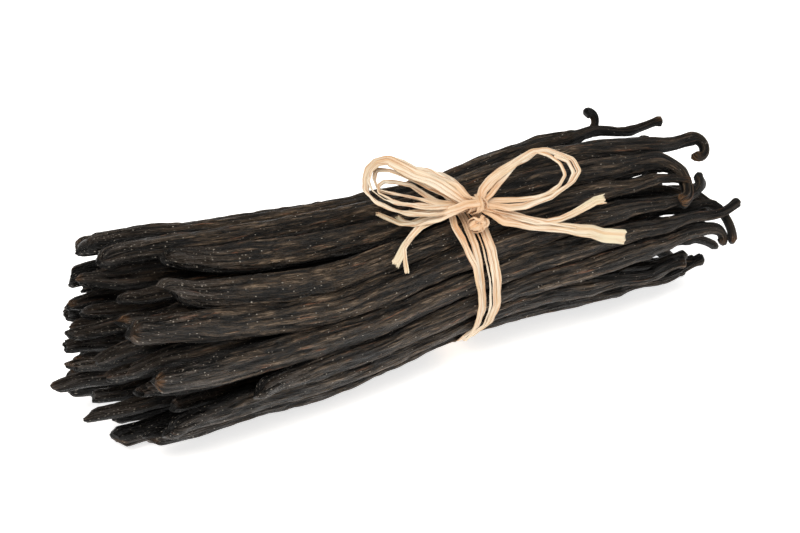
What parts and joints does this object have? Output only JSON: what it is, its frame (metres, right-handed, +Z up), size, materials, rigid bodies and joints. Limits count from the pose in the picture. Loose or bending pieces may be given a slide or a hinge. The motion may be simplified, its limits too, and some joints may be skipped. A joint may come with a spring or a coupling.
{
  "type": "bundle of vanilla pods",
  "caption": "Bundle of dried vanilla pods tied round the middle with a raffia bow, blunt ends one way and curled stems the other.",
  "frame": {"origin": "on the surface that the bundle lies on, under the middle of its box", "axes": "+X along the bundle from the blunt blossom ends to the curled stem ends, +Z up through the bow, -Y towards the side where the tails hang"},
  "size_m": [0.1925, 0.0532, 0.0579],
  "materials": {
    "pod": "dark brown, oily and finely wrinkled lengthwise, with reddish ridges and pale crystal flecks",
    "raffia": "pale straw, dry and papery, with lengthwise fibres and orange creases"
  },
  "bodies": {
    "root": {"pod_bundle": "pod", "band_strand_left": "raffia", "band_strand_middle": "raffia", "band_strand_right": "raffia", "band_strand_slant": "raffia", "band_knot": "raffia", "bow_knot": "raffia", "loop_left_outer": "raffia", "loop_left_inner": "raffia", "loop_right_outer": "raffia", "loop_right_inner": "raffia", "tail_left_upper": "raffia", "tail_left_lower": "raffia", "tail_right_upper": "raffia", "tail_right_lower": "raffia"}
  },
  "joints": []
}
